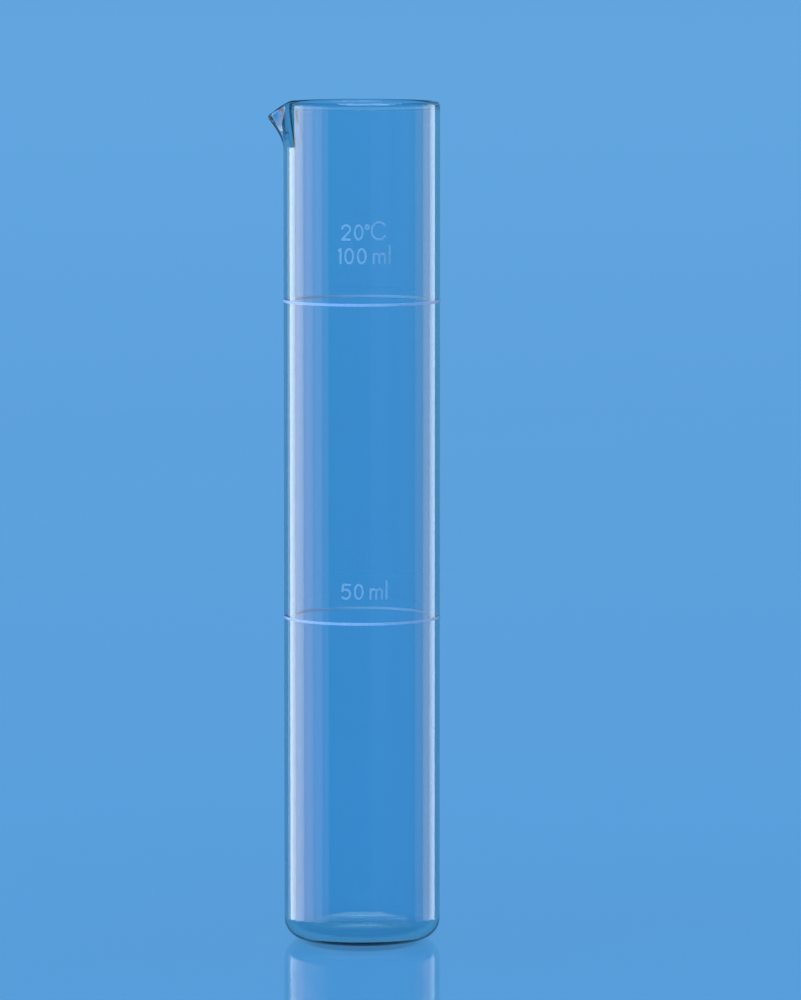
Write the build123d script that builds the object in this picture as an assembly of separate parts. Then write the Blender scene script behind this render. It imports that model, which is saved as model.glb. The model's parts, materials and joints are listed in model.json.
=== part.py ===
"""Two-mark measuring cylinder: a clear glass tube with a flat base, a fire-polished rim and a
pulled pouring spout, and the enamel ring marks and figures that are fired onto its outside.

Frame: millimetres, +Z up, origin at the centre of the base's underside. The spout points along
-X and the figures face -Y. Each enamel figure is a deposit of its own, so it is a node of its own.
"""

import os
from math import cos, pi, radians, sin, sqrt

from build123d import *

# --- glass vessel -----------------------------------------------------------------------------
outer_diameter = 34.0
wall = 1.8
base_thickness = 1.7
outer_corner_radius = 4.5  # outside, between the base and the wall
inner_corner_radius = 3.0  # inside, between the floor and the wall
rim_above_upper_mark = 43.2

# --- pouring spout, pulled out of the rim -----------------------------------------------------
spout_overhang = 3.3  # how far the tip stands out past the tube
spout_depth = 10.5  # below the rim, where the wall starts to lean out
spout_droop = 2.7  # how far the tip lies below the rim
spout_half_angle = 30.0  # degrees of the tube, each side of the tip
spout_pinch = 2.6  # 1 is a wide beak, and larger values are narrower
spout_lean = 38.0  # degrees from upright, of the wall at the tip
spout_thinning = 0.2  # share of the wall lost where the glass was drawn out
spout_sections = 17  # across the whole spout

# --- volumes that the ring marks show ---------------------------------------------------------
lower_capacity = 50.0  # ml
upper_capacity = 100.0  # ml
mm3_per_ml = 1000.0

# --- enamel, fired on as rings and figures ----------------------------------------------------
enamel_thickness = 0.05
ring_width = 0.6
stroke = 0.45  # width of a figure's lines
digit_width = 2.15
digit_height = 3.5
flag_width = 0.8  # of the digit 1, with its flag
two_start = 170.0  # degrees, where the bow of the digit 2 starts
two_sweep = 215.0  # degrees, clockwise, to its long slanting line
five_shoulder = 0.12  # of the digit 5's width, that its neck slants
five_neck = 0.54  # of the digit 5's height, where its bowl starts
degree_sign_size = 1.2
capital_width = 3.6
capital_height = 4.2
capital_opening = 75.0  # degrees, at the right of the C
small_letter_width = 2.9
small_letter_height = 2.5
tall_letter_height = 4.2
figure_gap = 0.55
degree_gap = 0.15  # each side of the degree sign
word_gap = 1.25
lower_text_rise = 5.3  # baseline of "50 ml" above its ring
upper_text_rise = 8.8  # baseline of "100 ml" above its ring
temperature_rise = 5.1  # baseline of "20 °C" above that of "100 ml"
text_offset = 0.65  # of every line's middle, to the right of the tube's middle

# --- sizes that follow ------------------------------------------------------------------------
outer_radius = outer_diameter / 2
bore_radius = outer_radius - wall
bore_area = pi * bore_radius**2


def corner_loss():
    """Volume that the rounded inner corner takes from the lowest part of the bore."""
    spandrel_area = (1 - pi / 4) * inner_corner_radius**2
    spandrel_depth = inner_corner_radius * (10 - 3 * pi) / (12 - 3 * pi)
    return 2 * pi * (bore_radius - spandrel_depth) * spandrel_area


def mark_height(capacity):
    """Height above the base's underside at which the vessel holds this many millilitres."""
    return base_thickness + (capacity * mm3_per_ml + corner_loss()) / bore_area


lower_mark_z = mark_height(lower_capacity)
upper_mark_z = mark_height(upper_capacity)
rim_z = upper_mark_z + rim_above_upper_mark
spout_foot_z = rim_z - spout_depth


# --- glass ------------------------------------------------------------------------------------
def spout_share(azimuth):
    """1 at the spout's tip, falling smoothly to 0 at its edges, for degrees away from the tip."""
    across = min(abs(azimuth) / spout_half_angle, 1.0)
    return cos(pi / 2 * across) ** (2 * spout_pinch)


def wall_section(azimuth):
    """The upper wall's closed section in (radius, height): foot, outside, round lip, inside."""
    share = spout_share(azimuth)
    lean = radians(spout_lean) * share
    half = wall / 2 * (1 - spout_thinning * share)
    along = Vector(sin(lean), cos(lean))
    outward = Vector(cos(lean), -sin(lean))
    lip_radius = outer_radius + spout_overhang * share - half
    lip_z = rim_z - spout_droop * share - half
    lip = Vector(lip_radius, lip_z)
    outer_lip = lip + outward * half
    inner_lip = lip - outward * half
    outer_foot = Vector(outer_radius, spout_foot_z)
    inner_foot = Vector(bore_radius, spout_foot_z)
    reach = (lip_z - spout_foot_z) / 3
    rise = Vector(0, reach)
    outside = Bezier(outer_foot, outer_foot + rise, outer_lip - along * reach, outer_lip)
    inside = Bezier(inner_lip, inner_lip - along * reach, inner_foot + rise, inner_foot)
    lip_round = ThreePointArc(outer_lip, lip + along * half, inner_lip)
    return Wire([Line(inner_foot, outer_foot), outside, lip_round, inside])


def section_plane(azimuth):
    """A plane through the tube's axis, x outwards at these degrees from the spout, y upwards."""
    angle = radians(180 + azimuth)
    outwards = Vector(cos(angle), sin(angle), 0)
    return Plane(origin=(0, 0, 0), x_dir=outwards, z_dir=outwards.cross(Vector(0, 0, 1)))


def spout_sector():
    """The part of the upper wall that is drawn out into the spout."""
    step = 2 * spout_half_angle / (spout_sections - 1)
    azimuths = [step * i - spout_half_angle for i in range(spout_sections)]
    return Solid.make_loft([section_plane(a).from_local_coords(wall_section(a)) for a in azimuths])


def plain_sector():
    """The rest of the upper wall, round and upright."""
    section = Face(wall_section(spout_half_angle))
    start = section_plane(spout_half_angle).from_local_coords(section)
    return revolve(start, axis=Axis.Z, revolution_arc=360 - 2 * spout_half_angle)


def lower_vessel():
    """The tube and its flat base, up to the spout's foot, turned from one outline."""
    corner_foot = (outer_radius - outer_corner_radius, 0)
    corner_side = (outer_radius, outer_corner_radius)
    outer_top = (outer_radius, spout_foot_z)
    inner_top = (bore_radius, spout_foot_z)
    wall_foot = (bore_radius, base_thickness + inner_corner_radius)
    floor_edge = (bore_radius - inner_corner_radius, base_thickness)
    outline = [
        Line((0, 0), corner_foot),
        RadiusArc(corner_foot, corner_side, -outer_corner_radius),
        Line(corner_side, outer_top),
        Line(outer_top, inner_top),
        Line(inner_top, wall_foot),
        RadiusArc(wall_foot, floor_edge, inner_corner_radius),
        Line(floor_edge, (0, base_thickness)),
        Line((0, base_thickness), (0, 0)),
    ]
    return revolve(Plane.XZ * Face(Wire(outline)), axis=Axis.Z)


def glass_vessel():
    return lower_vessel().fuse(plain_sector(), spout_sector(), tol=1e-4)


# --- enamel -----------------------------------------------------------------------------------
def enamel_band(middle_z, height):
    """A thin band of enamel all the way round the tube."""
    band = Cylinder(outer_radius + enamel_thickness, height) - Cylinder(outer_radius, height)
    return Pos(0, 0, middle_z) * band


def pen(*lines):
    """Each line drawn with a round pen. The lowest and leftmost ink is at x = 0 and y = 0."""
    drawn = Sketch()
    for line in lines:
        drawn += trace(line, stroke)
        drawn += [Pos(end.X, end.Y) * Circle(stroke / 2) for end in (line @ 0, line @ 1)]
    return Pos(stroke / 2, stroke / 2) * drawn


def oval_figure(width, height):
    """An upright oval line that fills this width and height."""
    oval = Ellipse(width / 2, height / 2) - Ellipse(width / 2 - stroke, height / 2 - stroke)
    return Pos(width / 2, height / 2) * oval


def digit_1(width, height):
    right, top = width - stroke, height - stroke
    return pen(Line((0, top - right), (right, top)), Line((right, top), (right, 0)))


def digit_2(width, height):
    right, top = width - stroke, height - stroke
    bow = CenterArc((right / 2, top - right / 2), right / 2, two_start, -two_sweep)
    return pen(bow, Line(bow @ 1, (0, 0)), Line((0, 0), (right, 0)))


def digit_5(width, height):
    right, top = width - stroke, height - stroke
    corner, neck = five_shoulder * right, five_neck * top
    bowl = right + neck - sqrt(2 * right * neck)  # radius that reaches the baseline and the right
    bow = ThreePointArc((0, neck), (right, bowl), (0, 2 * bowl - neck))
    return pen(Line((right, top), (corner, top)), Line((corner, top), (0, neck)), bow)


def degree_sign(width, height):
    """A small ring whose top is level with the digits."""
    return Pos(0, height - width) * oval_figure(width, width)


def letter_c(width, height):
    across, up = (width - stroke) / 2, (height - stroke) / 2
    bow_size = 360 - capital_opening
    return pen(EllipticalCenterArc((across, up), across, up, capital_opening / 2, arc_size=bow_size))


def letter_m(width, height):
    right, top = width - stroke, height - stroke
    arch = right / 4
    spring = top - arch
    lines = [Line((0, 0), (0, top))]
    for start in (0, right / 2):
        end = start + right / 2
        lines.append(ThreePointArc((start, spring), (start + arch, top), (end, spring)))
        lines.append(Line((end, spring), (end, 0)))
    return pen(*lines)


def letter_l(width, height):
    return pen(Line((0, 0), (0, height - width)))


# Each figure is its name, its drawing, its width, its height, and the gap before the next one.
millilitres = [
    ("letter_m", letter_m, small_letter_width, small_letter_height, figure_gap),
    ("letter_l", letter_l, stroke, tall_letter_height, 0),
]
lower_text = [
    ("digit_5", digit_5, digit_width, digit_height, figure_gap),
    ("digit_0", oval_figure, digit_width, digit_height, word_gap),
    *millilitres,
]
upper_text = [
    ("digit_1", digit_1, flag_width, digit_height, figure_gap),
    ("digit_0_first", oval_figure, digit_width, digit_height, figure_gap),
    ("digit_0_second", oval_figure, digit_width, digit_height, word_gap),
    *millilitres,
]
temperature_text = [
    ("digit_2", digit_2, digit_width, digit_height, figure_gap),
    ("digit_0", oval_figure, digit_width, digit_height, degree_gap),
    ("degree_sign", degree_sign, degree_sign_size, digit_height, degree_gap),
    ("letter_c", letter_c, capital_width, capital_height, 0),
]


def figures(prefix, text, baseline_z):
    """One line of figures, wrapped onto the front of the tube: name to solid."""
    tallest = max(height for _, _, _, height, _ in text)
    skin = enamel_band(baseline_z + tallest / 2, 2 * tallest)
    length = sum(width + gap for _, _, width, _, gap in text)
    left = text_offset - length / 2
    solids = {}
    for name, draw, width, height, gap in text:
        flat = Plane.XZ * (Pos(left, baseline_z) * draw(width, height))
        solids[prefix + name] = extrude(flat, outer_diameter) & skin
        left += width + gap
    return solids


def nodes():
    upper_baseline_z = upper_mark_z + upper_text_rise
    return {
        "glass_vessel": glass_vessel(),
        "ring_mark_50ml": enamel_band(lower_mark_z, ring_width),
        "ring_mark_100ml": enamel_band(upper_mark_z, ring_width),
        **figures("text_50ml_", lower_text, lower_mark_z + lower_text_rise),
        **figures("text_100ml_", upper_text, upper_baseline_z),
        **figures("text_20c_", temperature_text, upper_baseline_z + temperature_rise),
    }


os.makedirs("parts", exist_ok=True)
for node, solid in nodes().items():
    export_step(solid, f"parts/{node}.step")
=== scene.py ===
import json
import math
import bpy
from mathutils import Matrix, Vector


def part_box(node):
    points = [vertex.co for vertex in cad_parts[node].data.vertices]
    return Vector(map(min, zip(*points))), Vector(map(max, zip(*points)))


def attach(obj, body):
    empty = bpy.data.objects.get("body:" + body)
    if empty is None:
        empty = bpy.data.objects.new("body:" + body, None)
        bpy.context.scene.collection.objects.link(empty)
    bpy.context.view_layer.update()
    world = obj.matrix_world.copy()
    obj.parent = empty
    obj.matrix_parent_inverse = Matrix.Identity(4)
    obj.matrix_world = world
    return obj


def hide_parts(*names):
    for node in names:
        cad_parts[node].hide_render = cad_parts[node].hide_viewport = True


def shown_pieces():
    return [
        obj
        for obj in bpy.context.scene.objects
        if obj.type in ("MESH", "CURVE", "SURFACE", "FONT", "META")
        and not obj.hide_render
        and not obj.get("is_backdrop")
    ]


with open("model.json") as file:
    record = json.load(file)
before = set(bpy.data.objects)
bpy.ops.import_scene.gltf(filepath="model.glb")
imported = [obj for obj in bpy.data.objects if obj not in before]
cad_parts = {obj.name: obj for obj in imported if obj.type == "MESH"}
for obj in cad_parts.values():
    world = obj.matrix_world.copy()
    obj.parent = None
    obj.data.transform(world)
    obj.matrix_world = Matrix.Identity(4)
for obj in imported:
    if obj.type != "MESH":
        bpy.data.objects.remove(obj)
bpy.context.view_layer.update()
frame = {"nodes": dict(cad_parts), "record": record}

mm = 0.001
mounts = {mount["name"]: mount for mount in frame["record"]["mounts"]}


def mountSpan(name):
    # lowest and highest height of a straight wall, from the part's own record
    mount = mounts[name]
    half = mount["dims"]["length_mm"] / 2 * mm
    return mount["pos_m"][2] - half, mount["pos_m"][2] + half


def nodeSize(name):
    low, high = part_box(name)
    return high - low


class Field:
    # a socket that can be added, multiplied and so on: each step is one Math node

    def __init__(self, tree, socket):
        self.tree, self.socket = tree, socket

    def math(self, operation, *others):
        node = self.tree.nodes.new("ShaderNodeMath")
        node.operation = operation
        for slot, value in enumerate((self, *others)):
            plug(self.tree, value, node.inputs[slot])
        return Field(self.tree, node.outputs[0])

    def __add__(self, other):
        return self.math("ADD", other)

    def __sub__(self, other):
        return self.math("SUBTRACT", other)

    def __mul__(self, other):
        return self.math("MULTIPLY", other)

    def __truediv__(self, other):
        return self.math("DIVIDE", other)

    def __neg__(self):
        return self.math("MULTIPLY", -1.0)


def plug(tree, value, socket):
    # a Field or a socket is linked, anything else is set on the socket itself
    if isinstance(value, Field):
        value = value.socket
    if isinstance(value, bpy.types.NodeSocket):
        tree.links.new(value, socket)
    else:
        socket.default_value = value


def addNode(tree, kind, settings=None, **inputs):
    # spaces in a socket's name are written as underscores
    node = tree.nodes.new(kind)
    for key, value in (settings or {}).items():
        setattr(node, key, value)
    for key, value in inputs.items():
        plug(tree, value, node.inputs[key.replace("_", " ")])
    return node


def newGeometryTree(name, sizes):
    # a geometry tree with one named number input for each size
    tree = bpy.data.node_groups.new(name, "GeometryNodeTree")
    tree.interface.new_socket("Geometry", in_out="INPUT", socket_type="NodeSocketGeometry")
    tree.interface.new_socket("Geometry", in_out="OUTPUT", socket_type="NodeSocketGeometry")
    for size in sizes:
        tree.interface.new_socket(size, in_out="INPUT", socket_type="NodeSocketFloat")
    start = tree.nodes.new("NodeGroupInput")
    fields = {size: Field(tree, start.outputs[size]) for size in sizes}
    return tree, start.outputs["Geometry"], fields


def closeTree(tree, geometry, material):
    # every tree ends in Realize Instances and Set Material
    real = addNode(tree, "GeometryNodeRealizeInstances", Geometry=geometry)
    painted = addNode(tree, "GeometryNodeSetMaterial", Geometry=real.outputs[0], Material=material)
    end = tree.nodes.new("NodeGroupOutput")
    tree.links.new(painted.outputs[0], end.inputs["Geometry"])


def runTree(piece, tree, sizes):
    # the modifier's inputs are set by socket identifier, before the piece is first evaluated
    modifier = piece.modifiers.new(tree.name, "NODES")
    modifier.node_group = tree
    for item in tree.interface.items_tree:
        if item.in_out == "INPUT" and item.name in sizes:
            modifier[item.identifier] = float(sizes[item.name])


def linked(name, data):
    piece = bpy.data.objects.new(name, data)
    bpy.context.scene.collection.objects.link(piece)
    return piece


def collected(name, pieces):
    collection = bpy.data.collections.new(name)
    for piece in pieces:
        collection.objects.link(piece)
    return collection


def plainMesh(source, name):
    # the evaluated result as a plain mesh piece; the source and its modifiers go
    bpy.context.view_layer.update()
    seen = source.evaluated_get(bpy.context.evaluated_depsgraph_get())
    mesh = bpy.data.meshes.new_from_object(seen)
    mesh.name = name
    mesh.shade_smooth()
    bpy.data.objects.remove(source)
    return linked(name, mesh)


def handOver(piece, node):
    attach(piece, "root")
    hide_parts(node)


def separate(tree, vector):
    parts = addNode(tree, "ShaderNodeSeparateXYZ", Vector=vector)
    return [Field(tree, socket) for socket in parts.outputs]


def newMaterial(name):
    material = bpy.data.materials.new(name)
    material.use_nodes = True
    tree = material.node_tree
    tree.nodes.clear()
    shader = tree.nodes.new("ShaderNodeBsdfPrincipled")
    end = tree.nodes.new("ShaderNodeOutputMaterial")
    tree.links.new(shader.outputs[0], end.inputs["Surface"])
    place = tree.nodes.new("ShaderNodeTexCoord").outputs["Object"]
    return material, tree, shader, end, place


clearGlass = {
    "ior": 1.472,
    "bodyColor": (0.95, 0.92, 0.66),  # what the glass lets through, deep in the base
    "bodyDensity": 115.0,
    "faintTint": ((0.58, 0.84, 0.97), (0.63, 0.87, 1.0)),
    # painted shade: a dark colour that the glass lets through where its surface is seen edge on
    "edgeTint": (0.14, 0.17, 0.22),  # where the surface is seen edge on
    "edgePower": 2.5,
    "edgeSpan": (1.5 * mm, 9.0 * mm),  # heights between which that begins, above the clear base
    "edgeAtBase": 0.15,  # share of it that is left there
    "streakScale": 90.0,
    "streakDetail": 3.0,
    "streakStretch": (1.0, 1.0, 0.04),  # drawn out along the tube
    "streakBump": 0.010,
    "streakDepth": 0.5 * mm,
}


def makeGlass():
    material, tree, shader, end, place = newMaterial("fire polished glass")
    spec = clearGlass
    shader.inputs["IOR"].default_value = spec["ior"]
    shader.inputs["Roughness"].default_value = 0.0
    shader.inputs["Transmission Weight"].default_value = 1.0
    # drawn glass has faint streaks that run along the tube
    along = addNode(tree, "ShaderNodeMapping", Vector=place, Scale=spec["streakStretch"])
    streaks = addNode(
        tree, "ShaderNodeTexNoise",
        Vector=along.outputs[0], Scale=spec["streakScale"], Detail=spec["streakDetail"],
    )
    tint = addNode(tree, "ShaderNodeMix", {"data_type": "RGBA"}, Factor=streaks.outputs[0])
    tint.inputs[6].default_value = (*spec["faintTint"][0], 1)
    tint.inputs[7].default_value = (*spec["faintTint"][1], 1)
    # painted shade: what the glass lets through is darkened where its surface is seen edge on, less of
    # it near the clear base
    facing = addNode(tree, "ShaderNodeLayerWeight", Blend=0.5)
    _, _, height = separate(tree, place)
    low, high = spec["edgeSpan"]
    above = addNode(
        tree, "ShaderNodeMapRange",
        Value=height, From_Min=low, From_Max=high, To_Min=spec["edgeAtBase"],
    )
    edge = Field(tree, facing.outputs["Facing"]).math("POWER", spec["edgePower"])
    edge = edge * above.outputs[0]
    edgeShaded = addNode(tree, "ShaderNodeMix", {"data_type": "RGBA"}, Factor=edge)
    tree.links.new(tint.outputs[2], edgeShaded.inputs[6])
    edgeShaded.inputs[7].default_value = (*spec["edgeTint"], 1)
    tree.links.new(edgeShaded.outputs[2], shader.inputs["Base Color"])
    bump = addNode(
        tree, "ShaderNodeBump",
        Height=streaks.outputs[0], Strength=spec["streakBump"], Distance=spec["streakDepth"],
    )
    tree.links.new(bump.outputs[0], shader.inputs["Normal"])
    volume = tree.nodes.new("ShaderNodeVolumeAbsorption")
    volume.inputs["Color"].default_value = (*spec["bodyColor"], 1)
    volume.inputs["Density"].default_value = spec["bodyDensity"]
    tree.links.new(volume.outputs[0], end.inputs["Volume"])
    return material


firedEnamel = {
    "ring": ((0.42, 0.52, 0.72), (0.54, 0.62, 0.80)),  # the darkest and the palest of its mottling
    "figure": ((0.29, 0.45, 0.60), (0.37, 0.53, 0.67)),
    # painted light: the side against the glass is painted much paler than the outer side, so the far
    # halves seen through the glass look lit
    "inside": (0.98, 0.78, 0.95),  # the side that lies against the glass
    "mottleScale": 1600.0,
    "mottleDetail": 4.0,
    "mottleSpan": (0.35, 0.65),  # values of the noise that count as darkest and palest
    "grainScale": 9000.0,
    "grainDetail": 2.0,
    "grainBump": 0.25,
    "grainDepth": 0.01 * mm,
    "roughness": (0.32, 0.55),
}


def makeEnamel(kind):
    material, tree, shader, _, place = newMaterial(f"fired pale {kind} enamel")
    spec = firedEnamel
    mottle = addNode(
        tree, "ShaderNodeTexNoise", Vector=place, Scale=spec["mottleScale"], Detail=spec["mottleDetail"]
    )
    low, high = spec["mottleSpan"]
    spread = addNode(
        tree, "ShaderNodeMapRange", Value=mottle.outputs[0], From_Min=low, From_Max=high
    )
    tone = addNode(tree, "ShaderNodeMix", {"data_type": "RGBA"}, Factor=spread.outputs[0])
    tone.inputs[6].default_value = (*spec[kind][0], 1)
    tone.inputs[7].default_value = (*spec[kind][1], 1)
    # the film's inner side is the one whose surface looks towards the tube's axis; it is painted much
    # paler than the outer side, as painted light on the far halves seen through the glass
    surface = tree.nodes.new("ShaderNodeNewGeometry").outputs["Normal"]
    outwards = addNode(tree, "ShaderNodeVectorMath", {"operation": "DOT_PRODUCT"})
    tree.links.new(surface, outwards.inputs[0])
    tree.links.new(place, outwards.inputs[1])
    inner = Field(tree, outwards.outputs["Value"]).math("LESS_THAN", 0.0)
    toneAndPaintedLight = addNode(tree, "ShaderNodeMix", {"data_type": "RGBA"}, Factor=inner)
    tree.links.new(tone.outputs[2], toneAndPaintedLight.inputs[6])
    toneAndPaintedLight.inputs[7].default_value = (*spec["inside"], 1)
    tree.links.new(toneAndPaintedLight.outputs[2], shader.inputs["Base Color"])
    low, high = spec["roughness"]
    gloss = addNode(tree, "ShaderNodeMapRange", Value=mottle.outputs[0], To_Min=low, To_Max=high)
    tree.links.new(gloss.outputs[0], shader.inputs["Roughness"])
    grain = addNode(
        tree, "ShaderNodeTexNoise", Vector=place, Scale=spec["grainScale"], Detail=spec["grainDetail"]
    )
    bump = addNode(
        tree, "ShaderNodeBump",
        Height=grain.outputs[0], Strength=spec["grainBump"], Distance=spec["grainDepth"],
    )
    tree.links.new(bump.outputs[0], shader.inputs["Normal"])
    return material


glassMaterial = makeGlass()
ringMaterial = makeEnamel("ring")
figureMaterial = makeEnamel("figure")
print("materials made")

outerLow, outerHigh = mountSpan("tube_outside")
boreLow, _ = mountSpan("bore")
outerRadius = mounts["tube_outside"]["dims"]["r_mm"] * mm
boreRadius = mounts["bore"]["dims"]["r_mm"] * mm
vesselLow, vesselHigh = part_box("glass_vessel")
spoutTip, vesselTop = -vesselLow.x, vesselHigh.z

vessel = {
    "turns": 288,
    "floorHeight": 1.7 * mm,
    "bead": 0.40 * mm,  # the melted rim is this much thicker, inwards
    "beadReach": 1.0 * mm,
    "spout": {
        "Foot": outerHigh,  # where the wall starts to lean out
        "Rim": vesselTop,
        "Outer radius": outerRadius,
        "Wall": outerRadius - boreRadius,
        "Overhang": spoutTip - outerRadius,
        "Droop": 2.7 * mm,
        "Half angle": math.radians(30.0),
        "Pinch": 2.6,
        "Lean": math.radians(38.0),
        "Thinning": 0.2,
        "Crease": 0.30 * mm,  # inside, along both sides, where the forming tool folded the wall
        "Crease width": math.radians(3.0),
        "Crease top": math.radians(16.0),  # round from the tip, at the rim
        "Crease foot": math.radians(25.5),
        "Crease fade": 2.2 * mm,
    },
    "waves": {
        "Wave": 0.020 * mm,  # along the drawn tube
        "Base wave": 0.04 * mm,  # more where the base was closed by hand
        "Base reach": 5.0 * mm,
    },
    "noise": {
        "streakScale": 110.0,
        "streakStretch": 0.06,  # of the height, so that the streaks are long
        "lumpScale": 150.0,
        "detail": 1.0,
        "underside": 0.02 * mm,  # height below which no lumps are made
    },
    "steps": {  # along the outline
        "base": 10,
        "outerCorner": 20,
        "innerCorner": 16,
        "wall": 60,
        "upperOutside": 26,
        "upperInside": 40,
        "lip": 10,  # for each quarter of its round edge
    },
}


def arcPoints(centre, radius, start, stop, steps):
    # angles in degrees, both ends included
    turns = [math.radians(start + (stop - start) * i / steps) for i in range(steps + 1)]
    return [(centre[0] + radius * math.cos(t), centre[1] + radius * math.sin(t)) for t in turns]


def straight(start, stop, steps):
    # both ends left out
    return [
        (start[0] + (stop[0] - start[0]) * i / steps, start[1] + (stop[1] - start[1]) * i / steps)
        for i in range(1, steps)
    ]


def vesselOutline():
    # (radius, height) from the middle of the underside, up the outside, over the lip, to the floor
    steps = vessel["steps"]
    half = (outerRadius - boreRadius) / 2
    # each straight wall starts where the rounded corner below it ends
    outerCorner = outerLow
    innerCorner = boreLow - vessel["floorHeight"]
    lip = (outerRadius - half, vesselTop - half)
    under = (outerRadius - outerCorner, 0.0)
    underEdge = arcPoints((under[0], outerCorner), outerCorner, -90, 0, steps["outerCorner"])
    overLip = arcPoints(lip, half, 0, 90, steps["lip"])
    floorMiddle = (boreRadius - innerCorner, boreLow)
    floorEdge = arcPoints(floorMiddle, innerCorner, 0, -90, steps["innerCorner"])
    outerFoot, innerFoot = (outerRadius, outerHigh), (boreRadius, outerHigh)
    points = straight((0.0, 0.0), under, steps["base"]) + underEdge
    points += straight(underEdge[-1], outerFoot, steps["wall"]) + [outerFoot]
    points += straight(outerFoot, overLip[0], steps["upperOutside"]) + overLip
    inLip = arcPoints(lip, half, 90, 180, steps["lip"])[1:]
    inside = inLip + straight(inLip[-1], innerFoot, steps["upperInside"])
    points += [thickened(point, lip[0]) for point in inside] + [innerFoot]
    points += straight(innerFoot, floorEdge[0], steps["wall"]) + floorEdge
    points += straight(floorEdge[-1], (0.0, vessel["floorHeight"]), steps["base"])
    return points


def thickened(point, middle):
    # the bead that fire polishing leaves along the inside of the rim
    radius, height = point
    share = (middle - radius) / (middle - boreRadius)
    fade = math.exp(-(((vesselTop - height) / vessel["beadReach"]) ** 2))
    return radius - vessel["bead"] * share * fade, height


def turnedMesh(name, outline, turns, lowPole, highPole):
    # rings of points about the axis, closed by one point at each pole
    verts = [(0.0, 0.0, lowPole)]
    for radius, height in outline:
        for i in range(turns):
            angle = 2 * math.pi * i / turns
            verts.append((radius * math.cos(angle), radius * math.sin(angle), height))
    verts.append((0.0, 0.0, highPole))
    last = len(verts) - 1
    lastRing = last - turns
    faces = []
    for i in range(turns):
        j = (i + 1) % turns
        faces.append((0, 1 + j, 1 + i))
        for ring in range(len(outline) - 1):
            a = 1 + ring * turns
            faces.append((a + i, a + j, a + turns + j, a + turns + i))
        faces.append((lastRing + i, lastRing + j, last))
    mesh = bpy.data.meshes.new(name)
    mesh.from_pydata(verts, [], faces)
    mesh.update()
    return mesh


def spoutTree():
    # the spout is pulled out of a plain round rim
    tree, geometry, size = newGeometryTree("pull spout", vessel["spout"])
    position = tree.nodes.new("GeometryNodeInputPosition").outputs[0]
    x, y, z = separate(tree, position)
    radius = (x * x + y * y).math("SQRT")
    swing = y.math("ARCTAN2", -x).math("ABSOLUTE")
    across = swing / size["Half angle"]
    swell = (across.math("MINIMUM", 1.0) * (math.pi / 2)).math("COSINE")
    share = swell.math("POWER", size["Pinch"] * 2.0)
    keep = -(share * size["Thinning"]) + 1.0
    lean = share * size["Lean"]
    sine, cosine = lean.math("SINE"), lean.math("COSINE")
    half = size["Wall"] / 2.0
    # the middle of the lip's round edge, before and after the pull
    plainRadius, plainHeight = size["Outer radius"] - half, size["Rim"] - half
    lipRadius = size["Outer radius"] + size["Overhang"] * share - half * keep
    lipHeight = size["Rim"] - size["Droop"] * share - half * keep
    sideways = (radius - plainRadius) * keep
    above = (z - plainHeight).math("MAXIMUM", 0.0) * keep
    edgeRadius = lipRadius + sideways * cosine + above * sine
    edgeHeight = lipHeight - sideways * sine + above * cosine
    # a cubic curve from the foot of the spout up to the lip
    climb = ((z - size["Foot"]) / (plainHeight - size["Foot"])).math("MINIMUM", 1.0)
    left = -climb + 1.0
    first, last = left * left * left, climb * climb * climb
    second, third = left * left * climb * 3.0, left * climb * climb * 3.0
    reach = (lipHeight - size["Foot"]) / 3.0
    newRadius = (first + second) * radius + third * (edgeRadius - sine * reach)
    newRadius = newRadius + last * edgeRadius
    # a low ridge inside that runs down each side of the spout and ends softly
    line = size["Crease foot"] + (size["Crease top"] - size["Crease foot"]) * climb
    aside = (swing - line) / size["Crease width"]
    start = ((z - size["Foot"]) / size["Crease fade"]).math("MINIMUM", 1.0)
    inside = plainRadius.math("GREATER_THAN", radius)
    newRadius = newRadius - (-(aside * aside)).math("EXPONENT") * start * inside * size["Crease"]
    newHeight = first * size["Foot"] + second * (size["Foot"] + reach)
    newHeight = newHeight + third * (edgeHeight - cosine * reach) + last * edgeHeight
    grow = newRadius / radius
    place = addNode(tree, "ShaderNodeCombineXYZ", X=x * grow, Y=y * grow, Z=newHeight)
    pulled = addNode(
        tree, "GeometryNodeSetPosition", Geometry=geometry,
        Selection=z.math("GREATER_THAN", size["Foot"]), Position=place.outputs[0],
    )
    closeTree(tree, pulled.outputs[0], glassMaterial)
    return tree


def waveTree():
    # slow unevenness: streaks along the tube, and lumps where the base was closed
    noise = vessel["noise"]
    tree, geometry, size = newGeometryTree("uneven glass", vessel["waves"])
    position = tree.nodes.new("GeometryNodeInputPosition").outputs[0]
    normal = tree.nodes.new("GeometryNodeInputNormal").outputs[0]
    x, y, z = separate(tree, position)
    stretched = addNode(tree, "ShaderNodeCombineXYZ", X=x, Y=y, Z=z * noise["streakStretch"])
    streaks = addNode(
        tree, "ShaderNodeTexNoise",
        Vector=stretched.outputs[0], Scale=noise["streakScale"], Detail=noise["detail"],
    )
    lumps = addNode(
        tree, "ShaderNodeTexNoise", Vector=position, Scale=noise["lumpScale"], Detail=noise["detail"]
    )
    low = (-(z / size["Base reach"])).math("EXPONENT")
    lifted = z.math("GREATER_THAN", noise["underside"])
    rise = (Field(tree, streaks.outputs[0]) - 0.5) * size["Wave"]
    rise = rise + (Field(tree, lumps.outputs[0]) - 0.5) * size["Base wave"] * low * lifted
    push = addNode(tree, "ShaderNodeVectorMath", {"operation": "SCALE"}, Vector=normal, Scale=rise)
    moved = addNode(tree, "GeometryNodeSetPosition", Geometry=geometry, Offset=push.outputs[0])
    closeTree(tree, moved.outputs[0], glassMaterial)
    return tree


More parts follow.
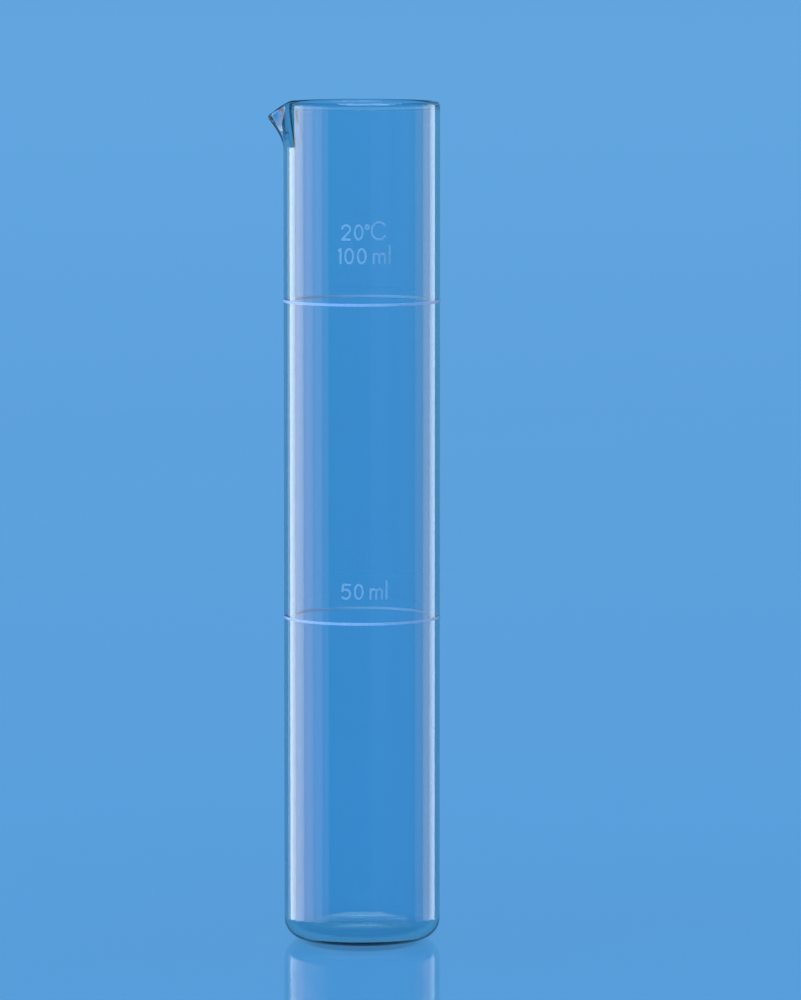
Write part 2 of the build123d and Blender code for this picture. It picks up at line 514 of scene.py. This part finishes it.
def makeVessel():
    mesh = turnedMesh("vessel", vesselOutline(), vessel["turns"], 0.0, vessel["floorHeight"])
    source = linked("vesselSource", mesh)
    runTree(source, spoutTree(), vessel["spout"])
    runTree(source, waveTree(), vessel["waves"])
    handOver(plainMesh(source, "glassVessel"), "glass_vessel")


makeVessel()
print("glass vessel made")

film = nodeSize("ring_mark_50ml").x / 2 - outerRadius
lift = 0.012 * mm  # clear of the uneven glass, so that light still reaches its inner face

ringMark = {
    "around": 360,
    "across": 24,
    "waver": 0.05 * mm,
    "waverScale": 320.0,
    "waverDetail": 2.0,
    "sizes": {
        "Path radius": outerRadius + (film + lift) / 2,
        "Half film": (film - lift) / 2,
        "Half width": nodeSize("ring_mark_50ml").z / 2,
        "Height": 0.0,
    },
}


def ovalSection(tree, halfWidth, halfHeight, points):
    # the closed outline that is swept along a ring or a stroke
    circle = addNode(tree, "GeometryNodeCurvePrimitiveCircle", Resolution=points, Radius=1.0)
    squeeze = addNode(tree, "ShaderNodeCombineXYZ", X=halfWidth, Y=halfHeight, Z=1.0)
    return addNode(
        tree, "GeometryNodeTransform", Geometry=circle.outputs[0], Scale=squeeze.outputs[0]
    )


def ringTree():
    # a film with rounded shoulders that follows the tube and wavers a little, as a wheel lays it
    tree, _, size = newGeometryTree("fired ring", ringMark["sizes"])
    path = addNode(
        tree, "GeometryNodeCurvePrimitiveCircle",
        Resolution=ringMark["around"], Radius=size["Path radius"],
    )
    section = ovalSection(tree, size["Half film"], size["Half width"], ringMark["across"])
    swept = addNode(
        tree, "GeometryNodeCurveToMesh", Curve=path.outputs[0], Profile_Curve=section.outputs[0]
    )
    position = tree.nodes.new("GeometryNodeInputPosition").outputs[0]
    noise = addNode(
        tree, "ShaderNodeTexNoise",
        Vector=position, Scale=ringMark["waverScale"], Detail=ringMark["waverDetail"],
    )
    _, _, z = separate(tree, position)
    # each edge wavers on its own, and the height is the ring's place on the tube
    waver = (Field(tree, noise.outputs[0]) - 0.5) * ringMark["waver"]
    offset = addNode(tree, "ShaderNodeCombineXYZ", Z=size["Height"] + waver * z.math("SIGN"))
    moved = addNode(
        tree, "GeometryNodeSetPosition", Geometry=swept.outputs[0], Offset=offset.outputs[0]
    )
    closeTree(tree, moved.outputs[0], ringMaterial)
    return tree


def makeRings():
    tree = ringTree()
    for node in ("ring_mark_50ml", "ring_mark_100ml"):
        low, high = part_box(node)
        source = linked(node + "Source", bpy.data.meshes.new(node))
        runTree(source, tree, {**ringMark["sizes"], "Height": (low.z + high.z) / 2})
        handOver(plainMesh(source, node.replace("_mark_", "Mark")), node)


makeRings()
print("ring marks made")

figure = {
    "stroke": nodeSize("text_50ml_letter_l").x / mm,
    "opening": 75.0,  # degrees, at the right of the C
    "twoBow": (170.0, -45.0),  # degrees, where the bow of the 2 starts and ends
    "fiveShoulder": 0.12,  # of the 5's width, that its neck slants
    "fiveNeck": 0.54,  # of its height, where the bowl starts
    "arcSteps": 48,
    "pitch": 0.06,  # between points along a stroke, in mm as drawn flat
    "around": 24,  # points round a stroke
    "bluntEnd": 0.02,  # least square of a round end's width, as a share, so that it stays closed
    "thicken": 4.0,  # the film is drawn this many times too thick, and thinned as it is wrapped on
    "voxel": 0.04,
    "film": (film - lift) / mm,
    "offset": (film + lift) / 2 / mm,
}


def lineStroke(start, stop):
    return [start, stop], False


def arcStroke(centre, across, up, start, stop, closed=False):
    # angles in degrees; a closed stroke doesn't repeat its first point
    steps = figure["arcSteps"]
    count = steps if closed else steps + 1
    turns = [math.radians(start + (stop - start) * i / steps) for i in range(count)]
    return [(centre[0] + across * math.cos(t), centre[1] + up * math.sin(t)) for t in turns], closed


def ovalFigure(right, top):
    return [arcStroke((right / 2, top / 2), right / 2, top / 2, 0, 360, True)]


def oneFigure(right, top):
    return [lineStroke((0, top - right), (right, top)), lineStroke((right, top), (right, 0))]


def twoFigure(right, top):
    start, stop = figure["twoBow"]
    bow = arcStroke((right / 2, top - right / 2), right / 2, right / 2, start, stop)
    return [bow, lineStroke(bow[0][-1], (0, 0)), lineStroke((0, 0), (right, 0))]


def fiveFigure(right, top):
    corner, neck = (figure["fiveShoulder"] * right, top), figure["fiveNeck"] * top
    # the radius that reaches both the baseline and the right
    bowl = right + neck - math.sqrt(2 * right * neck)
    start = math.degrees(math.atan2(neck - bowl, bowl - right))
    return [
        lineStroke((right, top), corner),
        lineStroke(corner, (0, neck)),
        arcStroke((right - bowl, bowl), bowl, bowl, start, -start),
    ]


def cFigure(right, top):
    side = figure["opening"] / 2
    across = right / (1 + math.cos(math.radians(side)))
    return [arcStroke((across, top / 2), across, top / 2, side, 360 - side)]


def mFigure(right, top):
    arch = right / 4
    strokes = [lineStroke((0, 0), (0, top))]
    for start in (0, right / 2):
        strokes.append(arcStroke((start + arch, top - arch), arch, arch, 180, 0))
        strokes.append(lineStroke((start + right / 2, top - arch), (start + right / 2, 0)))
    return strokes


def lFigure(right, top):
    return [lineStroke((0, 0), (0, top))]


drawings = {
    "digit_0": ovalFigure, "digit_1": oneFigure, "digit_2": twoFigure, "digit_5": fiveFigure,
    "degree_sign": ovalFigure, "letter_c": cFigure, "letter_m": mFigure, "letter_l": lFigure,
}


def strokeTree():
    # a flat oval bead along each stroke, with round ends
    names = ("Half stroke", "Half film", "Pitch")
    tree, geometry, size = newGeometryTree("enamel stroke", names)
    fine = addNode(
        tree, "GeometryNodeResampleCurve", {"mode": "LENGTH"}, Curve=geometry, Length=size["Pitch"]
    )
    along = Field(tree, tree.nodes.new("GeometryNodeSplineParameter").outputs["Length"])
    whole = Field(tree, tree.nodes.new("GeometryNodeSplineLength").outputs["Length"])
    closed = Field(tree, tree.nodes.new("GeometryNodeInputSplineCyclic").outputs[0])
    # the bead narrows over the last half stroke, as a circle does
    near = (along.math("MINIMUM", whole - along) / size["Half stroke"]).math("MINIMUM", 1.0)
    shy = -near + 1.0
    taper = (-(shy * shy) + 1.0).math("MAXIMUM", figure["bluntEnd"]).math("SQRT")
    section = ovalSection(tree, size["Half stroke"], size["Half film"], figure["around"])
    bead = addNode(
        tree, "GeometryNodeCurveToMesh",
        Curve=fine.outputs[0], Profile_Curve=section.outputs[0],
        Scale=taper.math("MAXIMUM", closed), Fill_Caps=True,
    )
    closeTree(tree, bead.outputs[0], figureMaterial)
    return tree


def wrapTree():
    # the flat figure, in mm, laid onto the front of the tube
    tree, geometry, size = newGeometryTree("wrap on tube", ("Radius", "Left", "Bottom", "Thin"))
    x, y, z = separate(tree, tree.nodes.new("GeometryNodeInputPosition").outputs[0])
    across = x * mm + size["Left"]
    reach = z * size["Thin"] * mm + size["Radius"]
    depth = (reach * reach - across * across).math("SQRT")
    place = addNode(tree, "ShaderNodeCombineXYZ", X=across, Y=-depth, Z=y * mm + size["Bottom"])
    laid = addNode(tree, "GeometryNodeSetPosition", Geometry=geometry, Position=place.outputs[0])
    closeTree(tree, laid.outputs[0], figureMaterial)
    return tree


def makeFigure(node, beadTree, layTree):
    low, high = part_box(node)
    stroke = figure["stroke"]
    right, top = (high.x - low.x) / mm - stroke, (high.z - low.z) / mm - stroke
    drawing = next(draw for key, draw in drawings.items() if key in node)
    flat = bpy.data.curves.new(node, "CURVE")
    flat.dimensions = "3D"
    for points, closed in drawing(right, top):
        # an open stroke reaches half its own width further, where its round end is
        if not closed:
            first = past(points[1], points[0], stroke / 2)
            last = past(points[-2], points[-1], stroke / 2)
            points = [first, *points, last]
        spline = flat.splines.new("POLY")
        spline.points.add(len(points) - 1)
        spline.use_cyclic_u = closed
        for point, (x, y) in zip(spline.points, points):
            point.co = (x + stroke / 2, y + stroke / 2, 0, 1)
    source = linked(node + "Source", flat)
    sizes = {
        "Half stroke": stroke / 2,
        "Half film": figure["film"] / 2 * figure["thicken"],
        "Pitch": figure["pitch"],
    }
    runTree(source, beadTree, sizes)
    beads = plainMesh(source, node + "Beads")
    fuse = beads.modifiers.new("fuse", "REMESH")  # the strokes run together in the kiln
    fuse.mode = "VOXEL"
    fuse.voxel_size = figure["voxel"]
    middle = outerRadius + figure["offset"] * mm
    place = {"Radius": middle, "Left": low.x, "Bottom": low.z, "Thin": 1 / figure["thicken"]}
    runTree(beads, layTree, place)
    handOver(plainMesh(beads, figureName(node)), node)


def past(before, end, distance):
    # a point that far beyond the end of a line
    x, y = end[0] - before[0], end[1] - before[1]
    length = math.hypot(x, y)
    return end[0] + x / length * distance, end[1] + y / length * distance


def figureName(node):
    # text_50ml_digit_5 becomes text50mlDigit5
    words = node.split("_")
    return words[0] + "".join(word[0].upper() + word[1:] for word in words[1:])


def makeFigures():
    beadTree, layTree = strokeTree(), wrapTree()
    for node in sorted(frame["nodes"]):
        if node.startswith("text_"):
            makeFigure(node, beadTree, layTree)


makeFigures()
print("figures made")

studio = {
    "floorSize": 60.0,
    "floorDrop": 0.05 * mm,  # air under the base, without which the floor would look wet
    "floorColor": (0.205, 0.43, 0.67),
    "floorTone": (0.97, 1.03),  # darkest and palest share of that color
    "floorCloudScale": 6.0,
    "floorCloudDetail": 3.0,
    "floorRoughness": 0.07,
    "worldLow": (0.13, 0.38, 0.72),
    "worldHigh": (0.05, 0.18, 0.30),
    "worldSpan": (0.14, 0.60),  # sine of the height above the horizon
    "lightColor": (0.45, 0.75, 1.0),
    "lightPower": 3.2,
    "lightTravel": (0.5, 1.1, -1.2),
    "lightWidth": math.radians(60.0),  # seen from the floor
}


def makeFloor():
    half, top = studio["floorSize"] / 2, -studio["floorDrop"]
    mesh = bpy.data.meshes.new("floor")
    corners = [(-half, -half, top), (half, -half, top), (half, half, top), (-half, half, top)]
    mesh.from_pydata(corners, [], [(0, 1, 2, 3)])
    floor = linked("floor", mesh)
    material, tree, shader, _, place = newMaterial("pale floor")
    cloud = addNode(
        tree, "ShaderNodeTexNoise",
        Vector=place, Scale=studio["floorCloudScale"], Detail=studio["floorCloudDetail"],
    )
    low, high = studio["floorTone"]
    tone = addNode(tree, "ShaderNodeMapRange", Value=cloud.outputs[0], To_Min=low, To_Max=high)
    tint = addNode(tree, "ShaderNodeVectorMath", {"operation": "SCALE"}, Scale=tone.outputs[0])
    tint.inputs[0].default_value = studio["floorColor"]
    tree.links.new(tint.outputs[0], shader.inputs["Base Color"])
    shader.inputs["Roughness"].default_value = studio["floorRoughness"]
    mesh.materials.append(material)
    floor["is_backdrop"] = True
    return floor


def makeWorld():
    # paler round the horizon and darker overhead, which draws the edges of the glass
    world = bpy.data.worlds.new("studio")
    world.use_nodes = True
    tree = world.node_tree
    _, _, height = separate(tree, tree.nodes.new("ShaderNodeTexCoord").outputs["Generated"])
    low, high = studio["worldSpan"]
    share = addNode(tree, "ShaderNodeMapRange", Value=height, From_Min=low, From_Max=high)
    tone = addNode(tree, "ShaderNodeMix", {"data_type": "RGBA"}, Factor=share.outputs[0])
    tone.inputs[6].default_value = (*studio["worldLow"], 1)
    tone.inputs[7].default_value = (*studio["worldHigh"], 1)
    tree.links.new(tone.outputs[2], tree.nodes["Background"].inputs["Color"])
    bpy.context.scene.world = world


def makeLamp(name, size, glow, color, receivers):
    # a rectangle of light that only the surface of its receivers shows
    light = bpy.data.lights.new(name, "AREA")
    light.shape = "RECTANGLE"
    light.size, light.size_y = size
    light.color = color
    light.energy = glow * math.pi * light.size * light.size_y
    lamp = linked(name, light)
    lamp.visible_camera = lamp.visible_diffuse = lamp.visible_transmission = False
    lamp.light_linking.receiver_collection = receivers
    return lamp


# Upright strips. Each is placed where its highlight falls across the tube: edges are shares of the
# outer radius from the middle, minus to the left, and tops are heights.
besideSpout = 0.20
underSpout = 0.172
strips = {
    "fringeLeft": {
        "edges": (-0.945, -0.915), "top": underSpout, "glow": 0.8, "color": (1.0, 0.88, 0.84),
    },
    "lineLeft": {
        "edges": (-0.915, -0.852), "top": underSpout, "glow": 5.8, "color": (1.0, 1.0, 1.0),
    },
    "broadLeft": {
        "edges": (-0.852, -0.74), "top": besideSpout, "glow": 5.0, "color": (1.0, 0.88, 0.86),
    },
    "middleLeft": {
        "edges": (-0.74, -0.62), "top": besideSpout, "glow": 3.0, "color": (1.0, 0.82, 0.84),
    },
    "wideLeft": {
        "edges": (-0.62, -0.50), "top": besideSpout, "glow": 2.0, "color": (0.9, 0.85, 1.0),
    },
    "fadeLeft": {
        "edges": (-0.50, -0.42), "top": besideSpout, "glow": 0.9, "color": (0.8, 0.85, 1.0),
    },
    "lineRight": {
        "edges": (0.867, 0.93), "top": besideSpout, "glow": 3.7, "color": (0.92, 0.96, 1.0),
    },
    "broadRight": {
        "edges": (0.78, 0.867), "top": besideSpout, "glow": 2.3, "color": (1.0, 0.82, 0.66),
    },
    "middleRight": {
        "edges": (0.68, 0.78), "top": besideSpout, "glow": 0.9, "color": (1.0, 0.82, 0.66),
    },
    "wideRight": {
        "edges": (0.40, 0.68), "top": besideSpout, "glow": 0.5, "color": (0.35, 0.55, 1.0),
    },
    "insideRight": {
        "edges": (0.11, 0.40), "top": besideSpout, "glow": 0.5, "color": (0.35, 0.55, 1.0),
    },
}
stripReach = 0.03  # from the glass
stripFoot = -0.01  # just under the floor, so that no gap shows
stripSpread = math.radians(70.0)  # narrow enough to leave the spout's slanting sides dark


def reflectedPoint(share, reach):
    # what a level view shows in the glass, that far across the tube and that far from the glass
    inward = math.sqrt(1 - share * share)
    turn = 2 * math.asin(share)
    x = outerRadius * share + reach * math.sin(turn)
    y = -outerRadius * inward - reach * math.cos(turn)
    return Vector((x, y, 0))


def makeStrips(receivers):
    # a narrow spread makes a lamp brighter straight ahead by this much
    focus = math.tan(stripSpread / 2) / (math.tan(stripSpread / 2) - stripSpread / 2)
    for name, strip in strips.items():
        start, stop = (reflectedPoint(share, stripReach) for share in strip["edges"])
        size = ((stop - start).length, strip["top"] - stripFoot)
        lamp = makeLamp(name, size, strip["glow"] / focus, strip["color"], receivers)
        lamp.data.spread = stripSpread
        middle = (start + stop) / 2
        lamp.location = (middle.x, middle.y, (strip["top"] + stripFoot) / 2)
        glass = reflectedPoint(sum(strip["edges"]) / 2, 0)
        lamp.rotation_euler = (glass - middle).to_track_quat("-Z", "Y").to_euler()


# flat panels that face down: one over the rim and a small one inside, low over the base
panels = {
    "rimPanel": {
        "size": (0.030, 0.036), "glow": 5.0, "color": (0.75, 0.92, 1.0),
        "place": (0.004, -0.010, vesselTop + 0.030),
    },
    "wellPanel": {
        "size": (0.022, 0.022), "glow": 3.4, "color": (0.95, 0.95, 0.85),
        "place": (0.0, 0.003, 0.025),
    },
}


def makePanels(receivers):
    for name, panel in panels.items():
        lamp = makeLamp(name, panel["size"], panel["glow"], panel["color"], receivers)
        lamp.location = panel["place"]


def makeSoftLight(floor):
    # high, wide and soft, for the floor and the enamel; clear glass lets it by
    light = bpy.data.lights.new("softLight", "SUN")
    light.angle = studio["lightWidth"]
    light.color = studio["lightColor"]
    light.energy = studio["lightPower"]
    lamp = linked("softLight", light)
    lamp.rotation_euler = Vector(studio["lightTravel"]).to_track_quat("-Z", "Y").to_euler()
    enamel = [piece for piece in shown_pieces() if piece.name != "glassVessel"]
    lamp.light_linking.blocker_collection = collected("opaque", enamel + [floor])
    lamp.visible_glossy = lamp.visible_transmission = False


view = {
    "place": (0.0084, -1.4312, 0.2286),
    "down": 5.286,  # degrees below level
    "lens": 237.6,  # both in mm
    "sensor": 36.0,
    "clipEnd": 200.0,
}


def makeCamera():
    lens = bpy.data.cameras.new("camera")
    lens.sensor_width = view["sensor"]
    lens.lens = view["lens"]
    lens.clip_end = view["clipEnd"]
    camera = linked("camera", lens)
    camera.location = view["place"]
    camera.rotation_euler = (math.radians(90 - view["down"]), 0, 0)
    bpy.context.scene.camera = camera


floor = makeFloor()
makeWorld()
ownPieces = collected("object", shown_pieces())
makeStrips(ownPieces)
makePanels(ownPieces)
makeSoftLight(floor)
makeCamera()
bpy.context.scene.view_settings.view_transform = "Standard"
print("floor, light and camera made")
